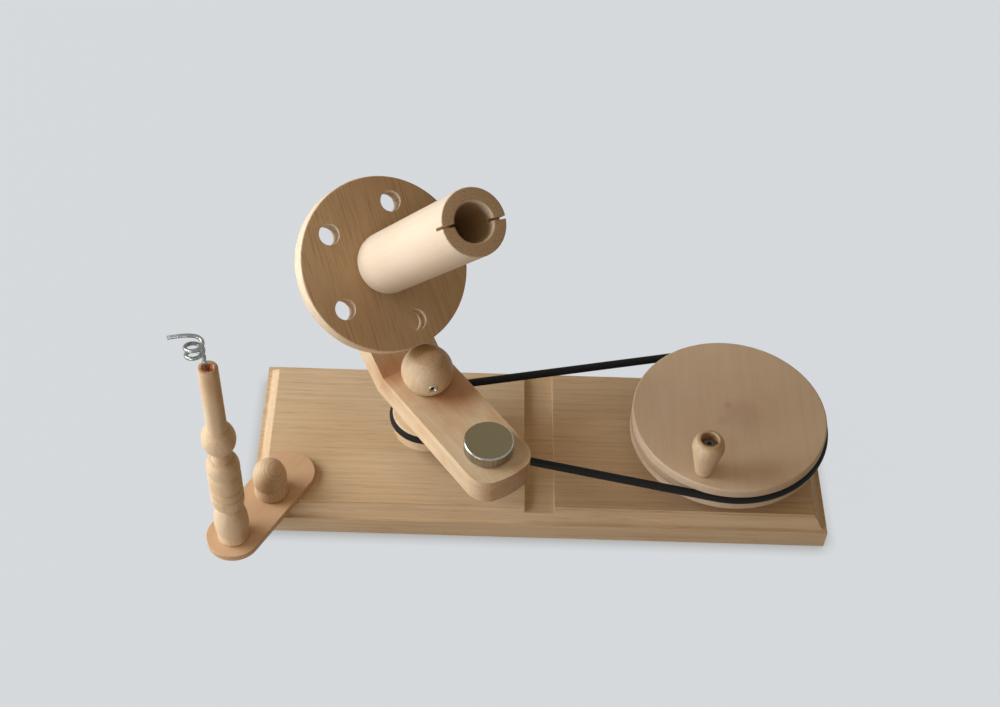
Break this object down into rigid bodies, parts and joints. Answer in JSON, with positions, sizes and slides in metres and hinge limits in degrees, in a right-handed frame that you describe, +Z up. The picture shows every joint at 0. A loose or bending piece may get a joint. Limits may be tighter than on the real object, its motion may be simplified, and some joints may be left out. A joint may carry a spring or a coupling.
{
  "type": "ball winder",
  "caption": "Hand-cranked wooden yarn ball winder: a crank wheel, a round belt, a tilted winding disc with a tube on a cranked arm, and a swivelling yarn guide.",
  "frame": {"origin": "centre of the base board's underside", "axes": "+X along the board towards the drive wheel, +Y to the back, away from the crank side, +Z up"},
  "size_m": [0.4853, 0.2357, 0.3166],
  "materials": {
    "board_wood": "sanded and lightly oiled pine, grain along the board",
    "pale_wood": "turned and sanded beech, lightly oiled",
    "disc_wood": "sanded beech disc, lightly oiled",
    "link_wood": "sanded cherry-toned plate, lightly oiled",
    "steel": "plain turned steel",
    "polished_steel": "faced and polished steel",
    "bronze": "sintered bronze",
    "belt_rubber": "matt black round cord"
  },
  "bodies": {
    "base": {"base_board": "board_wood", "centre_post": "steel", "post_collar": "steel", "underside_nuts": "steel", "underside_washers": "steel", "friction_dome": "pale_wood", "dome_insert": "steel", "dome_set_screw": "steel", "wheel_axle": "steel", "wheel_collar": "steel", "drive_belt": "belt_rubber", "guide_tee_nut": "steel"},
    "drive_wheel": {"drive_wheel": "pale_wood", "wheel_bush": "bronze", "crank_screw": "steel", "crank_sleeve": "bronze", "crank_washer": "steel"},
    "crank_knob": {"crank_knob": "pale_wood"},
    "rotor": {"pulley": "pale_wood", "pulley_bush": "bronze", "pulley_screws": "steel", "rotor_arm": "pale_wood", "rotor_limb": "pale_wood", "arm_bush": "bronze", "counterweight": "polished_steel", "counterweight_screw": "steel", "spindle_axle": "steel", "spindle_lock_nut": "steel", "spindle_collar": "steel", "spindle_end_washer": "steel", "spindle_end_nut": "steel"},
    "spindle": {"winding_disc": "disc_wood", "disc_bush": "bronze", "disc_screws": "steel", "winding_tube": "pale_wood", "tube_bush": "bronze"},
    "guide_arm": {"guide_link": "link_wood", "guide_post": "pale_wood", "guide_post_screw": "steel", "wire_eye": "steel"},
    "guide_knob": {"guide_knob": "pale_wood", "guide_stud": "steel"}
  },
  "joints": [
    {"name": "wheel_spin", "type": "hinge", "parent": "base", "child": "drive_wheel", "pos_m": [0.148, 0, 0.054], "axis": [0, 0, 1], "continuous": true},
    {"name": "crank_knob_spin", "type": "hinge", "parent": "drive_wheel", "child": "crank_knob", "pos_m": [0.12268, -0.05823, 0.085], "axis": [0, 0, 1], "continuous": true},
    {"name": "rotor_spin", "type": "hinge", "parent": "base", "child": "rotor", "pos_m": [-0.09, 0, 0.08], "axis": [0, 0, 1], "continuous": true},
    {"name": "spindle_spin", "type": "hinge", "parent": "rotor", "child": "spindle", "pos_m": [-0.12306, 0.04484, 0.17473], "axis": [0.387, -0.5249, 0.7581], "continuous": true},
    {"name": "guide_swing", "type": "hinge", "parent": "base", "child": "guide_arm", "pos_m": [-0.208, -0.0639, 0.029], "axis": [0, 0, 1], "range_deg": [-60, 55]},
    {"name": "guide_knob_turn", "type": "hinge", "parent": "base", "child": "guide_knob", "pos_m": [-0.208, -0.0639, 0.045], "axis": [0, 0, 1], "range_deg": [0, 360]}
  ],
  "couplings": [
    {"joint": "rotor_spin", "follows": "wheel_spin", "ratio": 2.875},
    {"joint": "spindle_spin", "follows": "wheel_spin", "ratio": 0.60654}
  ]
}
